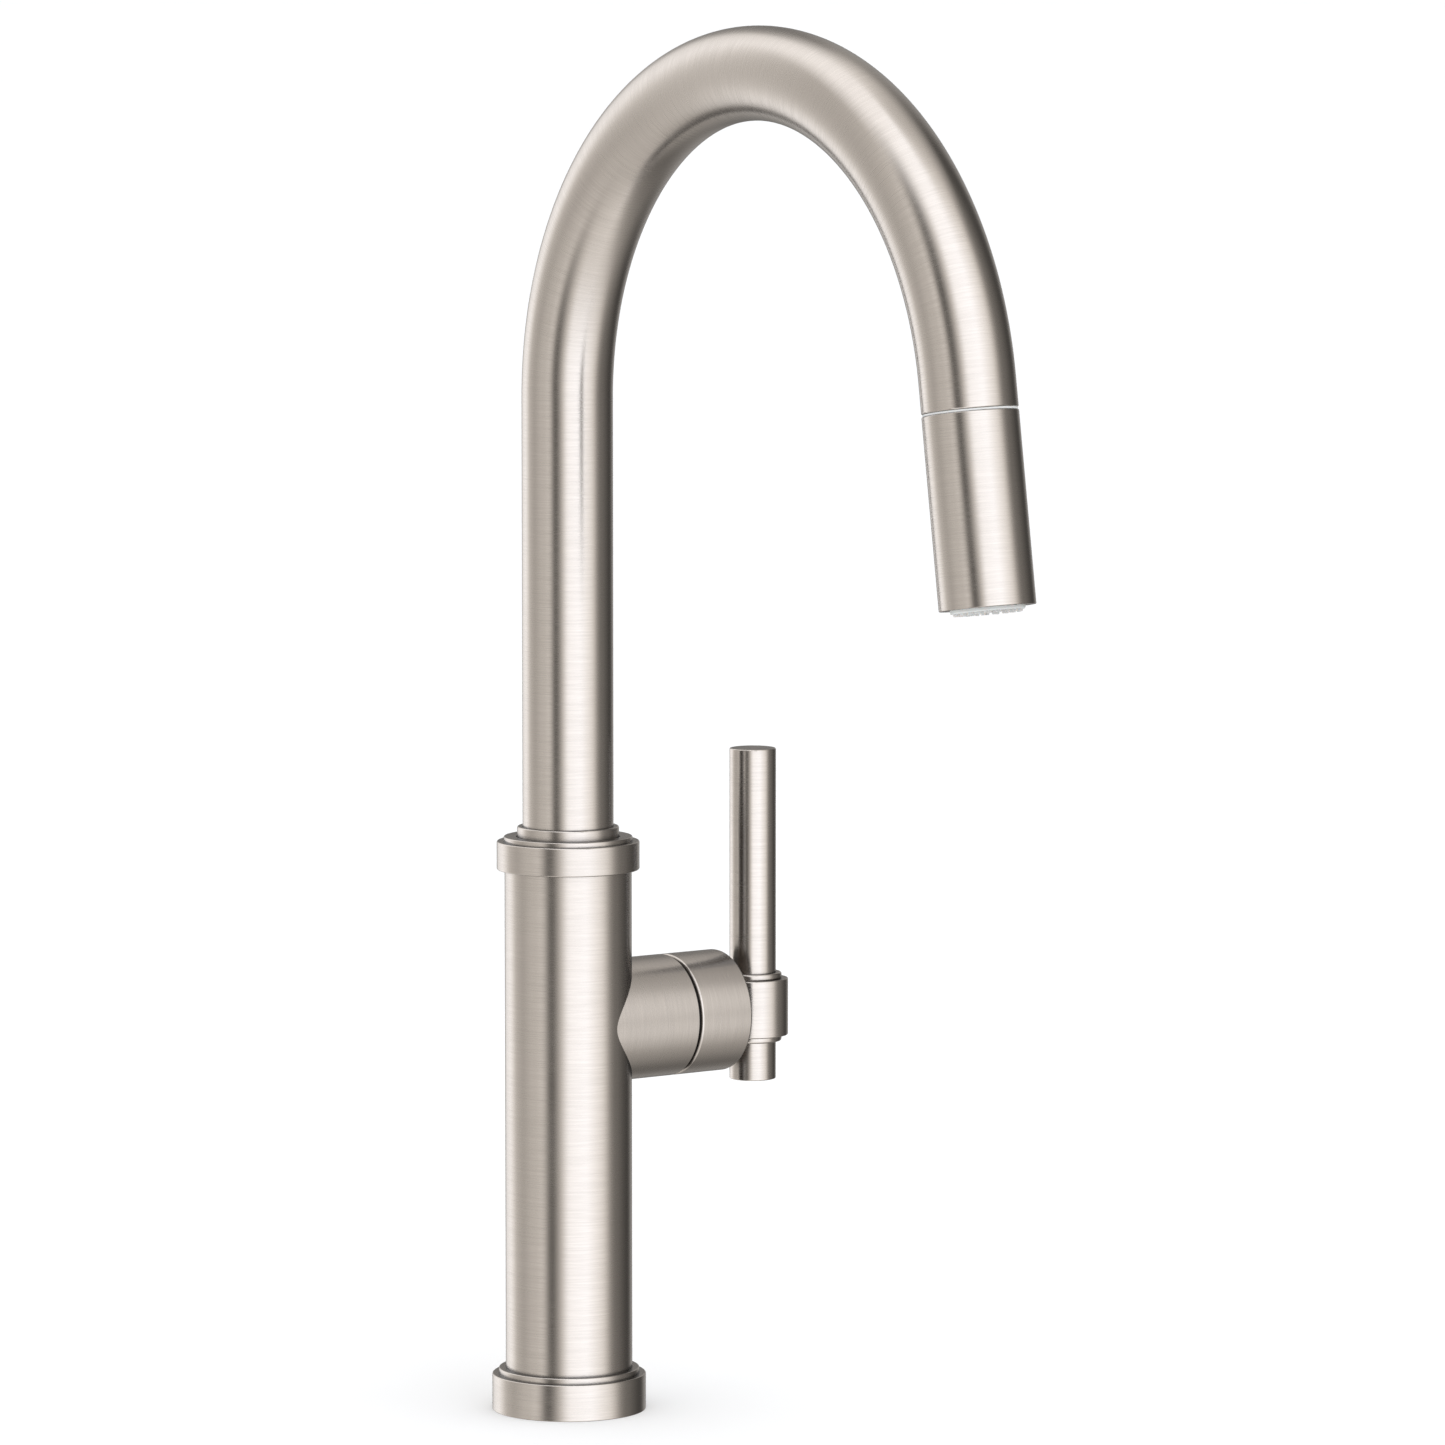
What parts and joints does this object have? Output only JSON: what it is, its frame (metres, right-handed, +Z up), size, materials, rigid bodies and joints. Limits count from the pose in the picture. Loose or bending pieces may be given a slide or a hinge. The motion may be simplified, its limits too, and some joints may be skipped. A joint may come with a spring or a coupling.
{
  "type": "pull down kitchen faucet",
  "caption": "Gooseneck pull down kitchen faucet in brushed nickel: round column, side lever on a rod, swivelling spout, docking spray wand on a hose.",
  "frame": {"origin": "middle of the round base, on the plane of the sink deck", "axes": "+Z up the column, spout reaches towards -Y, side handle points towards +X"},
  "size_m": [0.1213, 0.2832, 0.5757],
  "materials": {
    "brushed_nickel": "satin brushed nickel, fine lines round each turned piece",
    "brass": "turned brass",
    "plain_steel": "bright zinc or stainless steel",
    "black_rubber": "matt moulded rubber",
    "soft_grey_rubber": "soft translucent grey silicone",
    "black_plastic": "matt black acetal",
    "white_plastic": "plain moulded acetal",
    "pale_plastic": "pale grey satin plastic",
    "ceramic": "lapped alumina",
    "magnet": "dark plated magnet",
    "hose_braid": "grey braided nylon sleeve"
  },
  "bodies": {
    "column": {"base_flange": "brushed_nickel", "deck_gasket": "black_rubber", "shank": "brass", "rubber_washer": "black_rubber", "steel_washer": "plain_steel", "mounting_nut": "brass", "clamp_screws": "plain_steel", "body_column": "brushed_nickel", "valve_core": "brass", "port_seals": "black_rubber", "cartridge_base": "white_plastic", "cartridge_housing": "white_plastic", "fixed_disc": "ceramic", "retaining_nut": "brass", "glide_ring": "black_plastic", "top_collar": "brushed_nickel", "step_ring": "brushed_nickel", "slip_washer": "white_plastic"},
    "cap": {"handle_cap": "brushed_nickel", "stem_rotor": "white_plastic", "drive_plate": "black_plastic"},
    "valve_disc": {"moving_disc": "ceramic", "disc_slider": "white_plastic"},
    "lever": {"valve_stem": "brass", "stem_pin": "plain_steel", "stem_shroud": "brushed_nickel", "handle_hub": "brushed_nickel", "rod_screw": "plain_steel", "set_screw": "plain_steel", "hub_rings": "brushed_nickel", "lever_rod": "brushed_nickel"},
    "spout": {"spout_bearing": "brass", "wear_rings": "white_plastic", "swivel_seal": "black_rubber", "spout_ring": "brushed_nickel", "spout_tube": "brushed_nickel", "dock_insert": "black_plastic", "dock_magnet": "magnet", "hose_guide": "white_plastic", "spray_hose": "hose_braid", "hose_plug": "brass"},
    "pull_hose": {"hose_end": "hose_braid", "hose_tail": "brass"},
    "wand": {"wand_collar": "pale_plastic", "catch_plate": "plain_steel", "wand_shell": "brushed_nickel", "waterway": "white_plastic", "hose_nut": "brass", "hose_seal": "black_rubber", "inlet_filter": "plain_steel", "check_valve": "white_plastic", "button_spring": "plain_steel", "spray_body": "white_plastic", "spray_face": "pale_plastic", "spray_nozzles": "soft_grey_rubber", "aerator": "pale_plastic", "aerator_screens": "plain_steel"},
    "button": {"spray_button": "pale_plastic", "diverter_spool": "white_plastic", "spool_seals": "black_rubber"}
  },
  "joints": [
    {"name": "spout_swivel", "type": "hinge", "parent": "column", "child": "spout", "pos_m": [0, 0, 0.196], "axis": [0, 0, 1], "range_deg": [-180, 180]},
    {"name": "temperature_turn", "type": "hinge", "parent": "column", "child": "cap", "pos_m": [0.05, 0, 0.1361], "axis": [1, 0, 0], "range_deg": [-45, 45]},
    {"name": "flow_tilt", "type": "hinge", "parent": "cap", "child": "lever", "pos_m": [0.046, 0, 0.1361], "axis": [0, 1, 0], "range_deg": [0, 18]},
    {"name": "disc_slide", "type": "slide", "parent": "cap", "child": "valve_disc", "axis": [0, 0, 1], "range_m": [0, 0.0047]},
    {"name": "wand_pull", "type": "slide", "parent": "spout", "child": "pull_hose", "axis": [0, -0.1506, -0.9886], "range_m": [0, 0.28], "stiffness_N_per_m": 10, "springref_m": -0.7},
    {"name": "wand_twist", "type": "hinge", "parent": "pull_hose", "child": "wand", "pos_m": [0, -0.22888, 0.36243], "axis": [0, -0.1506, -0.9886], "continuous": true},
    {"name": "button_press", "type": "slide", "parent": "wand", "child": "button", "axis": [0, -0.9886, 0.1506], "range_m": [0, 0.002], "stiffness_N_per_m": 500, "springref_m": -0.003, "deforming": ["button_spring"]}
  ],
  "couplings": [
    {"joint": "disc_slide", "follows": "flow_tilt", "m_per_rad": 0.0146}
  ]
}
